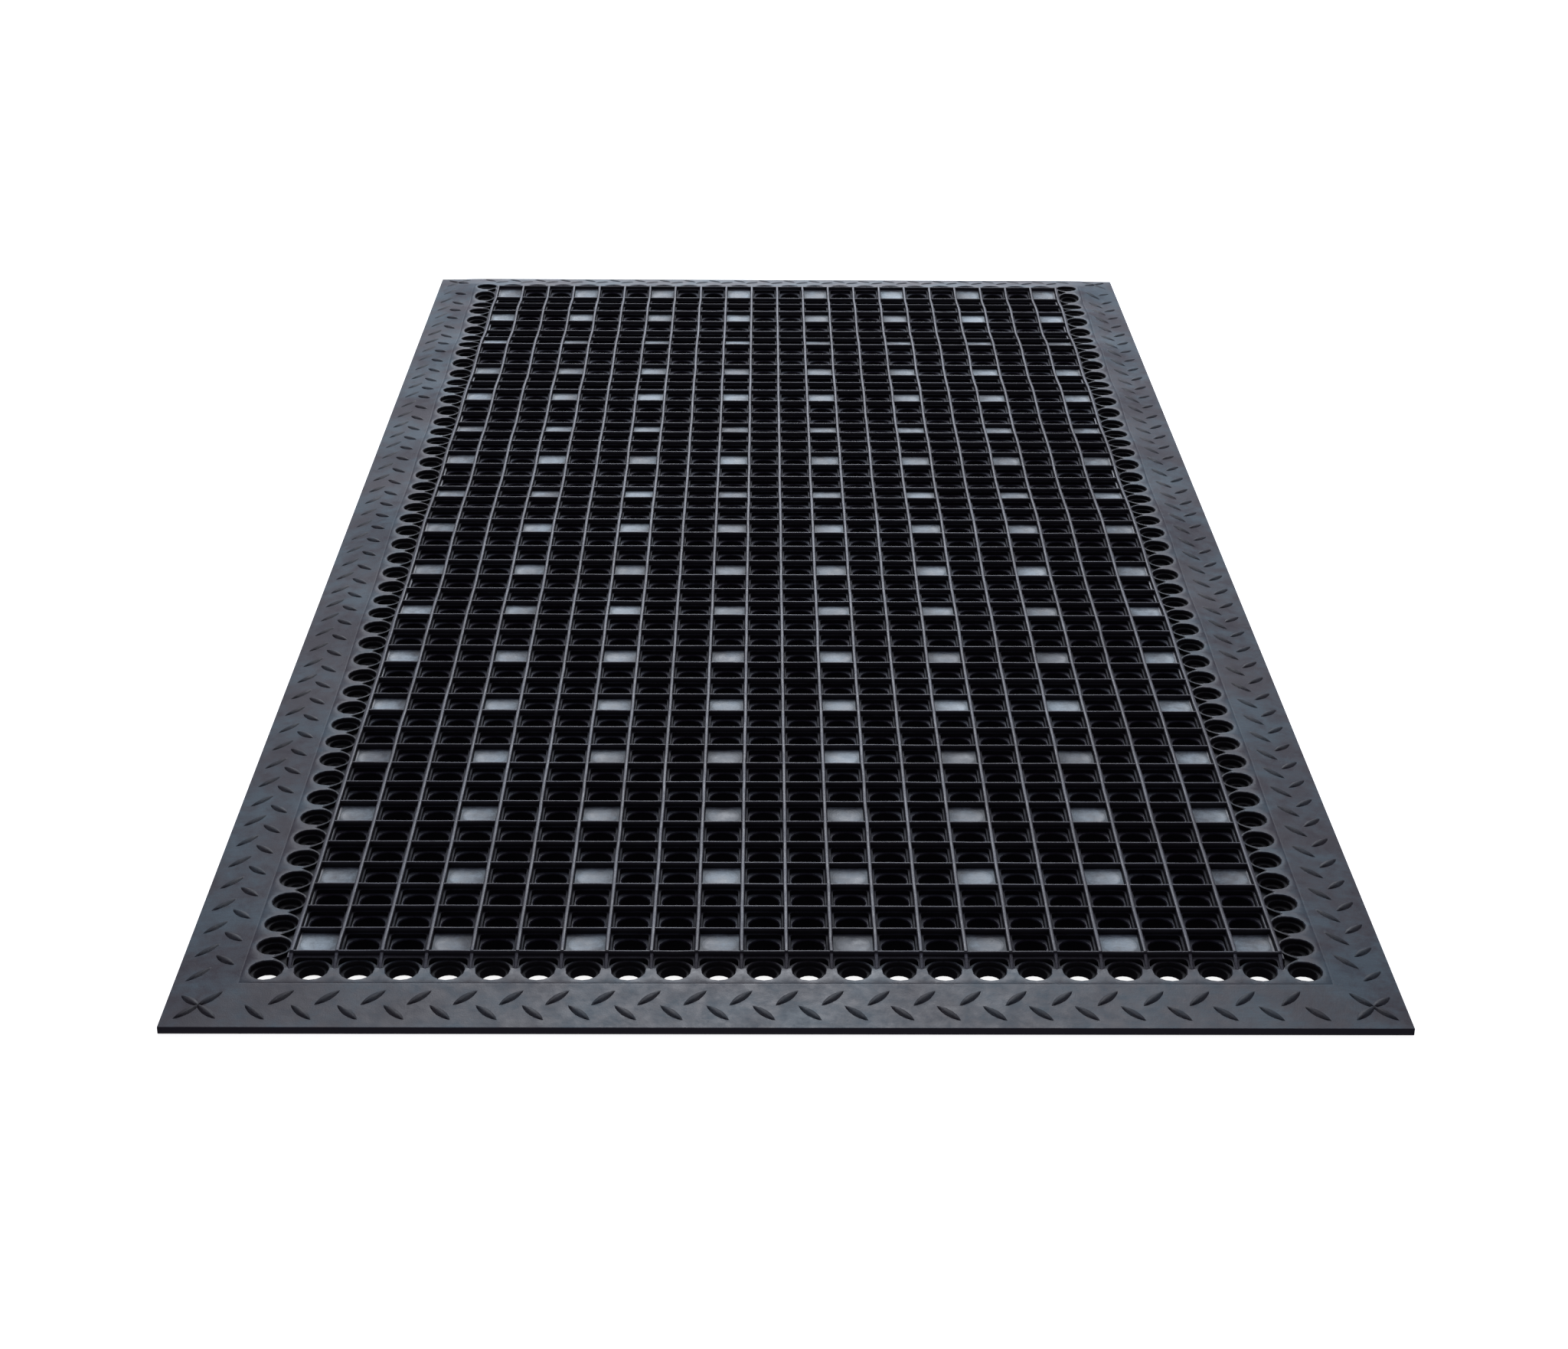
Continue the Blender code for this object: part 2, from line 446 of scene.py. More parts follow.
def drain_outlines(outline, heights, turns, neighbours, stepped):
    """The ladder of outlines for one drain cell: pocket, wall, hole, ledge, lower hole, underside.

    turns are the outline's directions from the hole in degrees, and neighbours the two directions
    in which the next drains lie, where the wall thickens. A stepped drain has a second ledge.
    """
    angles = [math.radians(turn) for turn in turns]
    nearest = [min(abs(turn - other) for other in neighbours) for turn in turns]
    flares = [max(0.0, 1 - max(0, away - THICK_ARC) / FADE_ARC) ** 2 for away in nearest]
    walls = [WALL_OUTER + WALL_FLARE * flare for flare in flares]

    def wall(growth, levels):
        sizes = [size + growth for size in walls]
        return [(r * math.sin(t), r * math.cos(t), z) for r, t, z in zip(sizes, angles, levels)]

    def ring(radius, height):
        return [(radius * math.sin(t), radius * math.cos(t), height) for t in angles]

    outlines = [
        [(x, y, z) for (x, y), z in zip(outline, heights)],
        wall(0.006, heights),
        wall(0.0, [max(z, MARGIN_HEIGHT - 0.15 * MM) for z in heights]),
        wall(-0.012, [MARGIN_HEIGHT] * ARC_POINTS),
        ring(WALL_INNER, MARGIN_HEIGHT),
        ring(DRAIN_RADIUS, MARGIN_HEIGHT - 0.6 * MM),
        ring(DRAIN_RADIUS - 0.012, LEDGE_HEIGHT + 0.15 * MM),
        ring(DRAIN_LOW_RADIUS + 0.012, LEDGE_HEIGHT),
        ring(DRAIN_LOW_RADIUS, LEDGE_HEIGHT - 0.5 * MM),
    ]
    if stepped:
        outlines.append(ring(DRAIN_LOW_RADIUS - 0.005, STEP_HEIGHT))
        outlines.append(ring(DRAIN_STEP_RADIUS, STEP_HEIGHT - 0.2 * MM))
    last = DRAIN_STEP_RADIUS if stepped else DRAIN_LOW_RADIUS
    outlines.append(ring(last - 0.01, 0.0))
    outlines.append([(x, y, 0.0) for x, y in outline])
    return outlines


def add_drain(form, outline, low_points, turns, neighbours, stepped):
    """The drain cell's faces. Painted shade makes the pocket and the hole near black and the wall's field
    side darker.
    """
    heights = border_heights(low_points)
    outlines = drain_outlines(outline, heights, turns, neighbours, stepped)
    loft(form, outlines, (0.0, 0.0, 0.0, 0.0, 0.0, 1.0, 0.9) + (1.0,) * 6)
    layer = shade_layer(form)
    wall_from = min(neighbours) + THICK_ARC
    wall_to = max(neighbours) - THICK_ARC
    for face in form.faces:
        middle = face.calc_center_median()
        turn = math.degrees(math.atan2(middle.x, middle.y))
        if middle.z < MARGIN_HEIGHT - 0.8 * MM:
            face[layer] = max(face[layer], 0.85)
        elif wall_from < turn < wall_to:
            face[layer] = max(face[layer], 0.55)


def ramp(out):
    """The border's height at this many cells outside the last rib."""
    share = max(0.0, (out - 1.0) / (BORDER_CELLS - 1.0))
    return MARGIN_HEIGHT + (EDGE_HEIGHT - MARGIN_HEIGHT) * share


def edge_section():
    """The border outside its drain holes, as (cells outside the last rib, height) to the underside.

    The fine groove at the top of the ramp is where two parts of the mould meet. Dips below the
    ramp are in mm, and the points just past the groove keep its shading off the ramp.
    """
    last = BORDER_CELLS
    groove = [(1.008, 0.1), (1.022, 0.1), (1.035, RAMP_DIP), (1.06, RAMP_DIP)]
    dips = [(1.0, 0.0)] + groove + [(1.75, RAMP_DIP), (last - 0.035, RAMP_DIP)]
    top = [(out, ramp(out) - dip * MM) for out, dip in dips]
    rounded = [(last - 0.008, EDGE_HEIGHT - 0.04 * MM), (last, EDGE_HEIGHT - 0.25 * MM)]
    foot = [(last, 0.4 * MM), (last - 0.014, 0.0), (1.0, 0.0)]
    return top + rounded + foot


print("border section:", len(edge_section()), "points")

# %% [markdown]
# The cell of a side is stamped along the front, back, left and right. The corner cell has pockets on
# both of its inner sides, and its two ramps meet on the mitre line, where each section point is as
# far along as it is out.

# %% The side cell and the corner cell
def line_out(along, shift=0.0):
    """A rule for a line's (x, y) at each distance out, which moves left by shift for each cell out."""
    return lambda out: (along - shift * out, 0.5 - out)


def swapped(rule):
    """The same rule for the corner's other ramp."""
    return lambda out: rule(out)[::-1]


def add_strip(form, one_side, other_side):
    """A strip of the border's section between two lines."""
    sides = []
    for rule in (one_side, other_side):
        places = [(rule(out), z) for out, z in edge_section()]
        sides.append([form.verts.new((x * PITCH, y * PITCH, z)) for (x, y), z in places])
    for i in range(len(sides[0]) - 1):
        form.faces.new((sides[0][i], sides[0][i + 1], sides[1][i + 1], sides[1][i]))


def side_cell(name, stepped):
    half = [(0.0, 0.5), (0.25, 0.5), (0.5, 0.5), (0.5, 0.40), (0.5, POCKET_TIP)]
    half += [(0.5, POCKET_END), (0.5, -0.25), (0.5, -0.5), (0.25, -0.5), (0.0, -0.5)]
    outline = half + [(-x, y) for x, y in half[-2:0:-1]]
    turns = [0, 20, 40, 60, 79, 84, 110, 134, 157, 180]
    turns += [-turn for turn in turns[-2:0:-1]]
    form = bmesh.new()
    low_points = set(range(5)) | set(range(ARC_POINTS - 4, ARC_POINTS))
    add_drain(form, outline, low_points, turns, (90, -90), stepped)
    for left in (-0.5, -0.25, 0.0, 0.25):
        add_strip(form, line_out(left), line_out(left + 0.25))
    return stamp(form, name)


def corner_cell():
    half = [(0.5, 0.40), (0.5, POCKET_TIP), (0.5, POCKET_END), (0.5, -0.25)]
    half += [(0.5, -0.5), (0.25, -0.5), (0.0, -0.5), (-0.25, -0.5)]
    outline = [(0.5, 0.5)] + half + [(-0.5, -0.5)] + [(y, x) for x, y in reversed(half)]
    turns = [45, 62, 79, 84, 110, 134, 157, 180, 202, 225]
    turns += [90 - turn for turn in turns[-2:0:-1]]
    form = bmesh.new()
    low_points = {0, 1, 2, ARC_POINTS - 2, ARC_POINTS - 1}
    add_drain(form, outline, low_points, turns, (0, 90), False)
    for share in (0.0, 0.25, 0.5, 0.75):
        near = line_out(0.5, share)
        far = line_out(0.5, share + 0.25)
        add_strip(form, near, far)
        add_strip(form, swapped(near), swapped(far))
    return stamp(form, "corner_cell")


end_stamp = side_cell("end_cell", False)
side_stamp = side_cell("side_cell", True)
corner_stamp = corner_cell()

# %% [markdown]
# ## Treads
# The ramp carries rows of small pointed treads, turned one way in the inner row and the other way in
# the outer row, with four of them making a cross at each corner. A tread is a lens: a pointed outline
# with a low soft ridge. It is drawn on the ramp's slope, and its underside is sunk into the rubber.

# %% The tread stamps
TREAD_LENGTH = 0.75
TREAD_WIDTH = 0.215
TREAD_RISE = 1.35 * MM
TREAD_SINK = 0.4 * MM
# The treads are painted darker all over than the ramp, as painted shade.
TREAD_SHADE = 0.6
INNER_ROW = 1.5
OUTER_ROW = 2.0
CORNER_CROSS = 1.76
CROSS_REACH = 0.30


def add_tread(form, turn, centre, slope):
    """One lens at centre, in cells, turned about Z. slope gives the ramp's height at (x, y)."""
    levels = [(-1.0, -TREAD_SINK), (-1.0, 0.0), (-0.5, TREAD_RISE * 0.62), (0.0, TREAD_RISE)]
    levels += [(-across, rise) for across, rise in reversed(levels[:-1])]
    stations = [-0.72, -0.38, 0.0, 0.38, 0.72]

    def corner(along, across, rise):
        a = along * TREAD_LENGTH / 2
        b = across * TREAD_WIDTH / 2
        x = centre[0] + a * math.cos(turn) - b * math.sin(turn)
        y = centre[1] + a * math.sin(turn) + b * math.cos(turn)
        return form.verts.new((x * PITCH, y * PITCH, slope(x, y) + rise))

    rows = []
    for along in stations:
        width = 1 - abs(along) ** 1.8
        crown = 1 - abs(along) ** 3
        row = [corner(along, across * width, rise * (crown if rise > 0 else 1)) for across, rise in levels]
        rows.append(row)
    for row, after in zip(rows, rows[1:]):
        for i in range(len(row)):
            form.faces.new((row[i - 1], row[i], after[i], after[i - 1]))
    for end, row in ((-1.0, rows[0]), (1.0, rows[-1])):
        tip = corner(end, 0.0, -TREAD_SINK / 2)
        for i in range(len(row)):
            form.faces.new((row[i - 1], row[i], tip))
    layer = shade_layer(form)
    for face in form.faces:
        face[layer] = TREAD_SHADE


def row_tread(name, out, turn):
    form = bmesh.new()
    add_tread(form, turn, (0.0, 0.0), lambda x, y: ramp(out - y) - RAMP_DIP * MM)
    return stamp(form, name)


def cross_treads():
    form = bmesh.new()
    for quarter in range(4):
        turn = math.pi / 4 + quarter * math.pi / 2
        centre = (CROSS_REACH * math.cos(turn), CROSS_REACH * math.sin(turn))
        add_tread(form, turn, centre, lambda x, y: ramp(CORNER_CROSS - min(x, y)) - RAMP_DIP * MM)
    return stamp(form, "cross_treads")


inner_tread = row_tread("inner_tread", INNER_ROW, math.pi / 4)
outer_tread = row_tread("outer_tread", OUTER_ROW, -math.pi / 4)
cross_stamp = cross_treads()

# %% [markdown]
# ## Ribs
# Each rib is a thin blade with a rounded top, standing on the shoulders of the cells at both its
# sides. The long ribs are a little thicker and higher than the cross ribs. The outermost ribs also
# need the lower wall that a neighbouring cell would give them, so each has a wall bar beneath it.

# %% A bar with a section, and its stamps
def bar(name, section, length, pieces_per_cell=2):
    """A straight bar along Y through the origin. section is (x in cells, height), its ends closed."""
    form = bmesh.new()
    count = round(length * pieces_per_cell)
    stations = [length * (i / count - 0.5) for i in range(count + 1)]
    rows = loft(form, [[(x, y, z) for x, z in section] for y in stations])
    form.faces.new(rows[0])
    form.faces.new(rows[-1])
    return stamp(form, name)


def mirrored(side):
    """A closed section from its +X half, listed upwards."""
    return side + [(-x, z) for x, z in reversed(side)]


CROSS_DROP = 0.35 * MM
BLADE_BASE = SHOULDER_HEIGHT - 0.5 * MM
long_blade = [
    (0.060, BLADE_BASE),
    (0.046, RIB_HEIGHT - 0.6 * MM),
    (0.036, RIB_HEIGHT - 0.12 * MM),
    (0.020, RIB_HEIGHT),
]
cross_blade = [
    (0.040, BLADE_BASE),
    (0.027, RIB_HEIGHT - CROSS_DROP - 0.35 * MM),
    (0.016, RIB_HEIGHT - CROSS_DROP),
]
wall_section = [
    (0.122, 0.0),
    (0.116, FLOOR_HEIGHT),
    (0.098, SHOULDER_HEIGHT - 0.35 * MM),
    (0.050, SHOULDER_HEIGHT - 0.1 * MM),
]
long_blade_stamp = bar("long_blade", mirrored(long_blade), ROWS)
cross_blade_stamp = bar("cross_blade", mirrored(cross_blade), COLUMNS + 0.08)
long_wall_stamp = bar("long_wall", mirrored(wall_section), ROWS + 0.2, 1)
cross_wall_stamp = bar("cross_wall", mirrored(wall_section), COLUMNS + 0.2, 1)

# %% [markdown]
# Past the front and back ribs each long rib runs on as a finger, which slopes down between two drain
# holes and dies into the margin with a rounded tip.

# %% The finger
SUNK_HEIGHT = 4.5 * MM
SLOPE_END = 0.43


def finger():
    form = bmesh.new()
    top_start = RIB_HEIGHT - 0.9 * MM
    top_end = MARGIN_HEIGHT + 0.15 * MM
    stations = [(-0.02, 1.0), (0.15, 1.0), (0.32, 1.0), (0.41, 0.95), (0.445, 0.7), (0.46, 0.25)]
    outlines = []
    for out, width in stations:
        share = min(1.0, max(0.0, out) / SLOPE_END)
        top = top_start + (top_end - top_start) * share - (1 - width) * 0.4 * MM
        side = [(0.050, SUNK_HEIGHT), (0.044, top - 0.55 * MM), (0.032, top - 0.1 * MM), (0.016, top)]
        outlines.append([(x * width, -out, z) for x, z in mirrored(side)])
    rows = loft(form, outlines)
    form.faces.new(rows[0])
    form.faces.new(rows[-1])
    return stamp(form, "finger")


finger_stamp = finger()

# %% [markdown]
# The step on the cells' sides also shows on the outer side of the front and back ribs. It runs round
# each drain hole's field side with rounded corners, and sinks into the margin beside the fingers.

# %% The collar round a drain hole
COLLAR_HALF = 0.43
COLLAR_TOP = 0.385
COLLAR_ROUND = 0.12
COLLAR_SINKS = 0.05
COLLAR_START = 0.09


def collar():
    """The collar's inner line is an arch, and its outer line the same arch a little larger."""
    arc = [math.radians(90.0 * i / 4) for i in range(5)]
    across = COLLAR_HALF - COLLAR_ROUND
    upward = COLLAR_TOP - COLLAR_ROUND
    corner = [(-across - COLLAR_ROUND * math.cos(t), upward + COLLAR_ROUND * math.sin(t)) for t in arc]
    left = [(-COLLAR_HALF, COLLAR_START)] + corner
    inner = left + [(-x, y) for x, y in reversed(left)]
    outlines = []
    for x, y in inner:
        share = (y - COLLAR_SINKS) / (COLLAR_TOP - COLLAR_SINKS)
        top = MARGIN_HEIGHT + (SHOULDER_HEIGHT - MARGIN_HEIGHT) * share
        far = (x * 0.485 / COLLAR_HALF, y + 0.07 * y / COLLAR_TOP)
        rim = [(x, y, SUNK_HEIGHT), (x, y, top - 0.25 * MM), (x * 1.05, y * 1.05, top)]
        outlines.append(rim + [(*far, top), (*far, SUNK_HEIGHT)])
    form = bmesh.new()
    # The collar is painted half dark, as painted shade beside the ribs.
    rows = loft(form, outlines, (0.5,) * (len(outlines) - 1))
    form.faces.new(rows[0])
    form.faces.new(rows[-1])
    return stamp(form, "collar")


collar_stamp = collar()

# %% [markdown]
# The tree for the ribs makes a line of copies, then pushes every point sideways a little by a smooth
# noise, because soft rubber never lies dead straight. The noise has a fixed seed.

# %% The rib tree
def rib_tree():
    tree, given = start_tree(
        "rib_line",
        Rib="Object",
        Count="Int",
        Step="Vector",
        Turn="Float",
        Wobble="Float",
        Wavelength="Float",
        Seed="Float",
        Finish="Material",
    )
    half = maths(tree, "MULTIPLY", maths(tree, "SUBTRACT", given["Count"], 1.0), -0.5)
    start = add(tree, "ShaderNodeVectorMath", {0: given["Step"], 3: half}, operation="SCALE")
    line = add(
        tree,
        "GeometryNodeMeshLine",
        {"Count": given["Count"], "Start Location": start.outputs[0], "Offset": given["Step"]},
    )
    shape = add(tree, "GeometryNodeObjectInfo", {"Object": given["Rib"]})
    turn = add(tree, "ShaderNodeCombineXYZ", {"Z": given["Turn"]})
    copies = add(
        tree,
        "GeometryNodeInstanceOnPoints",
        {
            "Points": line.outputs[0],
            "Instance": shape.outputs["Geometry"],
            "Rotation": turn.outputs[0],
        },
    )
    real = add(tree, "GeometryNodeRealizeInstances", {0: copies.outputs[0]})
    place = add(tree, "GeometryNodeInputPosition").outputs[0]
    noise = add(
        tree,
        "ShaderNodeTexNoise",
        {
            "Vector": place,
            "W": given["Seed"],
            "Scale": maths(tree, "DIVIDE", 1.0, given["Wavelength"]),
            "Detail": 1.0,
        },
        noise_dimensions="4D",
    )
    centred = add(
        tree,
        "ShaderNodeVectorMath",
        {0: noise.outputs["Color"], 1: (0.5, 0.5, 0.5)},
        operation="SUBTRACT",
    )
    push = add(
        tree, "ShaderNodeVectorMath", {0: centred.outputs[0], 3: given["Wobble"]}, operation="SCALE"
    )
    level = add(
        tree,
        "ShaderNodeVectorMath",
        {0: push.outputs[0], 1: (1.0, 1.0, 0.15)},
        operation="MULTIPLY",
    )
    moved = add(tree, "GeometryNodeSetPosition", {0: real.outputs[0], "Offset": level.outputs[0]})
    end_tree(tree, moved.outputs[0], given)
    return tree


ribs = rib_tree()

# %% [markdown]
# ## Rubber
# The mat is black vulcanised rubber, pressed in a steel mould. Rubber of this kind is charcoal-black
# where nothing has settled on it, so side faces stay near black. Hollows, holes, the cells' shoulders,
# the collars, the pads' sides and the treads are painted darker, towards near black, as painted shade.
# On faces that look up, wax that has come to the surface and fine dust make a blue-grey bloom. The
# bloom is cloudy, has fine specks and wipe marks, and is strongest on the rib tops and the pads:
# partly their dust, partly a painted sheen where those smooth tops would mirror the light. The web's
# colours are darker as painted shade, and the border's lighter bare colour is partly its bloom and
# partly a painted fill light on its front face. One function mixes that finish, and each kind of
# member has its own amounts.

# %% Colours and the rubber finish
def linear(code):
    """An sRGB hex colour as linear RGBA."""
    parts = [int(code[i : i + 2], 16) / 255 for i in (1, 3, 5)]
    lit = [c / 12.92 if c <= 0.04045 else ((c + 0.055) / 1.055) ** 2.4 for c in parts]
    return (*lit, 1.0)


def per_metre(millimetres):
    """The scale of a pattern whose features are this many millimetres apart."""
    return 1000.0 / millimetres


def noise(tree, place, spacing, detail=3.0, roughness=0.55):
    inputs = {"Vector": place, "Scale": per_metre(spacing), "Detail": detail, "Roughness": roughness}
    return add(tree, "ShaderNodeTexNoise", inputs).outputs["Fac"]


def spread(tree, value, low, high, to_low=0.0, to_high=1.0):
    inputs = {"Value": value, 1: low, 2: high, 3: to_low, 4: to_high}
    return add(tree, "ShaderNodeMapRange", inputs, clamp=True).outputs[0]


def mix(tree, share, first, second):
    inputs = {"Factor": share, 6: first, 7: second}
    return add(tree, "ShaderNodeMix", inputs, data_type="RGBA").outputs[2]


def moulded_rubber(name, bare, thin_bloom, thick_bloom, cloud, shine, grain):
    """Pressed rubber. cloud is the bloom's lowest amount, shine the mirrored share, grain the bump."""
    material = bpy.data.materials.new(name)
    material.use_nodes = True
    tree = material.node_tree
    shader = tree.nodes["Principled BSDF"]
    place = add(tree, "ShaderNodeTexCoord").outputs["Object"]
    facing = add(tree, "ShaderNodeSeparateXYZ", {0: add(tree, "ShaderNodeNewGeometry").outputs["Normal"]})
    upward = spread(tree, facing.outputs["Z"], 0.25, 0.92)
    clouds = noise(tree, place, 55.0, 4.0)
    smudges = noise(tree, place, 11.0, 5.0, 0.7)
    specks = noise(tree, place, 1.6, 2.0)
    drawn = add(tree, "ShaderNodeVectorMath", {0: place, 1: (0.06, 1.0, 1.0)}, operation="MULTIPLY")
    wipes = noise(tree, drawn.outputs[0], 1.5, 3.0)
    cloudy = maths(tree, "ADD", maths(tree, "MULTIPLY", clouds, 0.6), maths(tree, "MULTIPLY", smudges, 0.4))
    bloom = mix(tree, spread(tree, cloudy, 0.42, 0.58), linear(thin_bloom), linear(thick_bloom))
    speckled = spread(tree, specks, 0.30, 0.70, 0.78, 1.0)
    wiped = spread(tree, wipes, 0.36, 0.66, 0.86, 1.08)
    marks = maths(tree, "MULTIPLY", speckled, wiped)
    patchy = spread(tree, cloudy, 0.36, 0.62, cloud, 1.0)
    amount = maths(tree, "MULTIPLY", patchy, marks)
    # The face layer of painted shade keeps the bloom off hollows and paints their colour towards near black
    # #0d0b0f.
    clean = add(tree, "ShaderNodeAttribute", attribute_name="clean").outputs["Fac"]
    dust_outside_shade = maths(tree, "MULTIPLY", upward, maths(tree, "SUBTRACT", 1.0, clean))
    share = maths(tree, "MULTIPLY", amount, dust_outside_shade)
    under = mix(tree, clean, linear(bare), linear("#0d0b0f"))
    tree.links.new(mix(tree, share, under, bloom), shader.inputs["Base Color"])
    worn = spread(tree, smudges, 0.35, 0.65, 0.42, 0.58)
    rough = maths(tree, "ADD", worn, spread(tree, clean, 0.0, 1.0, 0.0, 0.3))
    tree.links.new(rough, shader.inputs["Roughness"])
    shader.inputs["Specular IOR Level"].default_value = shine
    fine = noise(tree, place, 0.9, 3.0)
    broad = noise(tree, place, 14.0, 2.0)
    relief = maths(tree, "ADD", maths(tree, "MULTIPLY", fine, 0.35), broad)
    bump = add(
        tree, "ShaderNodeBump", {"Strength": grain, "Distance": 0.3 * MM, "Height": relief}
    )
    tree.links.new(bump.outputs[0], shader.inputs["Normal"])
    shader.inputs["IOR"].default_value = 1.52
    return material


# One rubber in four finishes. The web's darker colours are painted shade for cells sunk among the ribs. The
# brighter bloom on ribs and pads is partly dust and partly painted sheen. The border's lighter bare colour
# is partly bloom and partly a painted fill light on its front face.
border_rubber = moulded_rubber("pressed_rubber_border", "#35333a", "#48424c", "#4d5f6b", 0.42, 0.36, 0.7)
rib_rubber = moulded_rubber("rubbed_rubber_ribs", "#18171c", "#56535b", "#6d6f78", 0.75, 0.28, 0.4)
web_rubber = moulded_rubber("clean_rubber_web", "#221d2a", "#3a3742", "#4d535c", 0.5, 0.14, 0.4)
pad_rubber = moulded_rubber("dusty_rubber_pads", "#1d1b22", "#676e77", "#a6b6c0", 0.45, 0.34, 0.6)
print("finishes:", [finish.name for finish in (border_rubber, rib_rubber, web_rubber, pad_rubber)])

# %% [markdown]
# ## The lie of the mat
# The mat has been kept rolled up. Laid out, it still remembers each turn of the roll as a low wave
# right across it: hardly any at the front edge, a few millimetres at the far end, where the roll was
# tightest. Turns get shorter towards the core, so the crests come closer together. The thick ramps at
# the sides lie flat and hold the wave down. The same rule is applied to every piece.

# %% The wave, and finishing a piece
TROUGHS = [(-2.5, 0.0), (2.2, 0.2), (5.2, 0.0), (14.5, 0.0), (20.3, 0.0), (29.0, 0.0), (34.2, 0.0)]
TROUGHS += [(39.0, 0.3), (44.0, 0.0), (47.9, 1.0), (51.5, 1.0)]
CRESTS = [(0.0, 1.2), (10.0, 1.0), (18.0, 2.1), (25.0, 3.8), (31.4, 2.8), (37.0, 3.6)]
CRESTS += [(42.0, 4.2), (46.4, 4.2), (49.2, 5.6)]
FLAT_FROM = 11.8
FLAT_TO = 13.3
print("wave crests in mm, front to back:", [height for _, height in CRESTS])


def ease(share):
    share = np.clip(share, 0.0, 1.0)
    return share * share * (3 - 2 * share)


def wave(column, row):
    """The height in metres that the mat is lifted by, in cells from its middle line and first rib."""
    rows, heights = np.array(sorted(TROUGHS + CRESTS)).T
    before = np.clip(np.searchsorted(rows, row, side="right") - 1, 0, len(rows) - 2)
    share = ease((row - rows[before]) / (rows[before + 1] - rows[before]))
    height = heights[before] + (heights[before + 1] - heights[before]) * share
    held_flat = ease((np.abs(column) - FLAT_FROM) / (FLAT_TO - FLAT_FROM))
    return height * MM * (1 - held_flat)


def settle(mesh):
    """Lays a mesh over the wave."""
    places = np.empty(len(mesh.vertices) * 3)
    mesh.vertices.foreach_get("co", places)
    places = places.reshape(-1, 3)
    places[:, 2] += wave(places[:, 0] / PITCH, places[:, 1] / PITCH + ROWS / 2)
    mesh.vertices.foreach_set("co", places.ravel())


def joined(meshes, close=False):
    """One form from several meshes, welded. close joins its two open rims with a wall."""
    form = bmesh.new()
    for mesh in meshes:
        form.from_mesh(mesh)
        bpy.data.meshes.remove(mesh)
    bmesh.ops.remove_doubles(form, verts=form.verts, dist=0.005 * MM)
    if close:
        rims = [edge for edge in form.edges if edge.is_boundary]
        bmesh.ops.bridge_loops(form, edges=rims)
    return form


def make_piece(name, form, finish, nodes, sharp=35.0):
    """A finished piece of the mat: laid over the wave, shaded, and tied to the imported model."""
    mesh = finished_mesh(form, name)
    mesh.materials.clear()
    mesh.materials.append(finish)
    settle(mesh)
    mesh.shade_smooth()
    mesh.set_sharp_from_angle(angle=math.radians(sharp))
    piece = bpy.data.objects.new(name, mesh)
    bpy.context.scene.collection.objects.link(piece)
    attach(piece, "root")
    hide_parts(*nodes)
    mesh.calc_loop_triangles()
    check = bmesh.new()
    check.from_mesh(mesh)
    open_edges = sum(not edge.is_manifold for edge in check.edges)
    print("piece", name, len(mesh.loop_triangles), "triangles,", open_edges, "open edges,",
          round(check.calc_volume() * 1e6, 1), "cubic cm")
    check.free()
    return piece


# %% [markdown]
# ## The border
# Side cells and corner cells are stamped round the edge and welded into one frame. Its inner rim is
# still open above and below, so a wall closes it beneath the outermost ribs.

# %% Make the border and its treads
grid = {"Columns": COLUMNS, "Rows": ROWS, "Pitch": PITCH}


def edge_run(piece, out, finish, extra=0, corners=False, ends=True, sides=True):
    """Copies round the edge, this many cells outside the last rib, with extra cells in each line."""
    return run(
        edge,
        Stamp=piece,
        Out=out * PITCH,
        Extra=extra,
        Corners=corners,
        Ends=ends,
        Sides=sides,
        Finish=finish,
        **grid,
    )


end_cells = edge_run(end_stamp, 0.5, border_rubber, sides=False)
side_cells = edge_run(side_stamp, 0.5, border_rubber, ends=False)
corner_cells = edge_run(corner_stamp, 0.5, border_rubber, corners=True)
border_form = joined([end_cells, side_cells, corner_cells], close=True)
make_piece("border", border_form, border_rubber, borders)

inner_row = edge_run(inner_tread, INNER_ROW, border_rubber, extra=1)
outer_row = edge_run(outer_tread, OUTER_ROW, border_rubber, extra=2)
crosses = edge_run(cross_stamp, CORNER_CROSS, border_rubber, corners=True)
tread_form = joined([inner_row, outer_row, crosses])
make_piece("treads", tread_form, border_rubber, borders, 50.0)

# %% [markdown]
# ## The web and the pads
# The web is every hole cell and blank cell, welded along their shared sides and closed round the
# outside. The pads are separate blocks, each standing in its blank cell.

# %% Make the web and the pads
field = dict(grid, Step=PAD_STEP)
web = run(cells, Cell=hole_stamp, Pad=blank_stamp, Finish=web_rubber, **field)
make_piece("web", joined([web], close=True), web_rubber, cross_ribs, 40.0)
pads = run(cells, Pad=pad_stamp, Finish=pad_rubber, **field)
make_piece("pads", joined([pads]), pad_rubber, pad_rows, 40.0)

# %% [markdown]
# ## The ribs
# Blades, wall bars and fingers go in as separate closed bars that run into each other, as they would
# before a press fuses them.

# %% Make the long ribs and the cross ribs
ACROSS = math.pi / 2


def rib_line(rib, count, step, turn, wobble, seed):
    """Ribs side by side. wobble is in mm."""
    return run(
        ribs,
        Rib=rib,
        Count=count,
        Step=step,
        Turn=turn,
        Wobble=wobble * MM,
        Wavelength=30.0 * MM,
        Seed=seed,
        Finish=rib_rubber,
    )


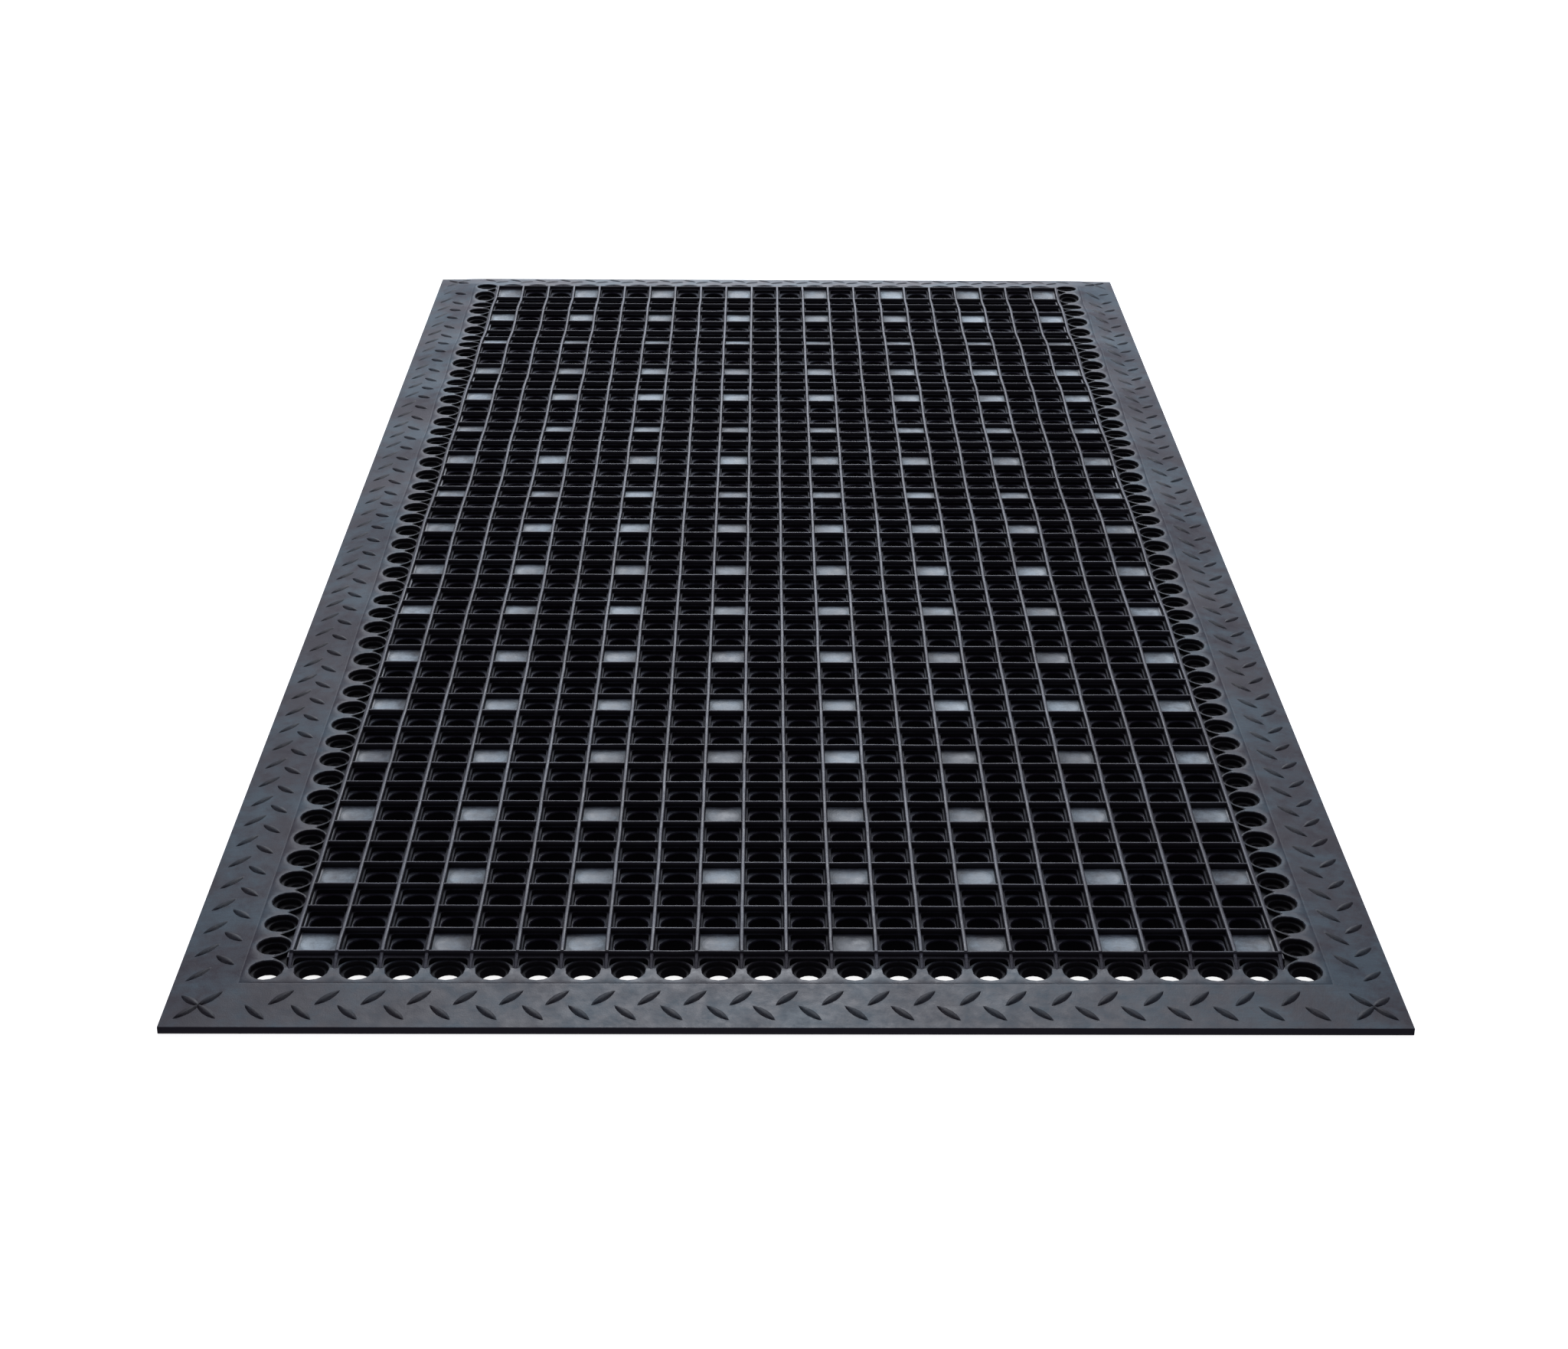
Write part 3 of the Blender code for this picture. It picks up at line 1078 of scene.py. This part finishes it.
every_column = (PITCH, 0.0, 0.0)
every_row = (0.0, PITCH, 0.0)
long_set = [
    rib_line(long_blade_stamp, COLUMNS + 1, every_column, 0.0, 1.2, 3.0),
    rib_line(long_wall_stamp, 2, (COLUMNS * PITCH, 0.0, 0.0), 0.0, 0.0, 3.0),
    edge_run(finger_stamp, 0.0, rib_rubber, extra=1, sides=False),
]
make_piece("long_ribs", joined(long_set), rib_rubber, long_ribs, 50.0)
cross_set = [
    rib_line(cross_blade_stamp, ROWS + 1, every_row, ACROSS, 1.6, 7.0),
    rib_line(cross_wall_stamp, 2, (0.0, ROWS * PITCH, 0.0), ACROSS, 0.0, 7.0),
    edge_run(collar_stamp, 0.5, rib_rubber, sides=False),
]
make_piece("cross_ribs", joined(cross_set), rib_rubber, cross_ribs, 50.0)

# %% Remove the stamps
print("removing", len(stamps), "stamps")
for piece in stamps:
    bpy.data.objects.remove(piece)

# %% [markdown]
# ## Floor, light and camera
# The floor is a plain white sweep that curves up into a wall all round, so there is no horizon. It
# glows a little of its own, and stays pale under the mat's holes as well. It gives no bounce, which
# is what black cards do round a dark product.

# %% The floor
def white_floor():
    form = bmesh.new()
    profile = [(8.0, 0.0), (9.5, 0.3), (11.0, 1.2), (12.0, 3.0), (12.0, 9.0)]
    rings = loft(form, [circle(radius / PITCH, height, 48) for radius, height in profile])
    form.faces.new(rings[0])
    floor = bpy.data.objects.new("floor", finished_mesh(form, "floor"))
    floor.location.z = -0.2 * MM
    material = bpy.data.materials.new("white_sweep")
    material.use_nodes = True
    shader = material.node_tree.nodes["Principled BSDF"]
    shader.inputs["Base Color"].default_value = (0.8, 0.8, 0.8, 1.0)
    shader.inputs["Emission Color"].default_value = (1.0, 1.0, 1.0, 1.0)
    shader.inputs["Emission Strength"].default_value = 0.9
    floor.data.materials.append(material)
    floor.data.shade_smooth()
    floor.visible_diffuse = False
    floor.visible_glossy = False
    bpy.context.scene.collection.objects.link(floor)
    print("floor sweep of", len(floor.data.polygons), "faces")


white_floor()

# %% [markdown]
# The main light is a large soft box above and behind the mat. Black rubber shows its shape by what it
# mirrors, so a light on the far side is what makes the tops silvery and leaves near faces dark.

# %% The lights and the world
def soft_box(name, place, aim, size, power, colour):
    light = bpy.data.lights.new(name, "AREA")
    light.shape = "RECTANGLE"
    light.size, light.size_y = size
    light.energy = power
    light.color = colour
    lamp = bpy.data.objects.new(name, light)
    lamp.location = place
    lamp.rotation_euler = (Vector(aim) - Vector(place)).to_track_quat("-Z", "Y").to_euler()
    bpy.context.scene.collection.objects.link(lamp)
    print("light", name, power, "W")


soft_box("back_box", (0.0, 2.7, 2.2), (0.0, 0.0, 0.0), (1.2, 1.9), 84.0, (0.88, 0.93, 1.0))
soft_box("low_box", (0.0, 3.4, 0.6), (0.0, 0.5, 0.0), (1.4, 0.9), 9.0, (0.88, 0.93, 1.0))
soft_box("top_box", (0.0, 1.3, 2.6), (0.0, 0.2, 0.0), (2.0, 1.4), 16.0, (0.90, 0.94, 1.0))
world = bpy.data.worlds.new("studio")
world.use_nodes = True
world.node_tree.nodes["Background"].inputs["Color"].default_value = (0.84, 0.80, 1.0, 1.0)
world.node_tree.nodes["Background"].inputs["Strength"].default_value = 0.16
bpy.context.scene.world = world
bpy.context.scene.view_settings.view_transform = "Standard"

# %% [markdown]
# The camera stands low in front of the mat with a moderate lens, turned and tilted by small angles.

# %% The camera
CAMERA_PLACE = Vector((-0.0157, -2.0299, 0.8581))
CAMERA_TURN = math.radians(0.553)
CAMERA_TILT = math.radians(25.816)
CAMERA_ROLL = math.radians(0.387)
CAMERA_LENS = 58.71


def place_camera():
    flat = Vector((math.sin(CAMERA_TURN), math.cos(CAMERA_TURN), 0.0))
    ahead = flat * math.cos(CAMERA_TILT) - Vector((0.0, 0.0, math.sin(CAMERA_TILT)))
    level = Vector((flat.y, -flat.x, 0.0))
    over = level.cross(ahead)
    right = math.cos(CAMERA_ROLL) * level + math.sin(CAMERA_ROLL) * over
    up = right.cross(ahead)
    data = bpy.data.cameras.new("camera")
    data.lens = CAMERA_LENS
    data.sensor_width = 36.0
    camera = bpy.data.objects.new("camera", data)
    axes = Matrix((right, up, -ahead)).transposed().to_4x4()
    camera.matrix_world = Matrix.Translation(CAMERA_PLACE) @ axes
    bpy.context.scene.collection.objects.link(camera)
    bpy.context.scene.camera = camera
    print("camera at", [round(x, 3) for x in CAMERA_PLACE], "m")


place_camera()
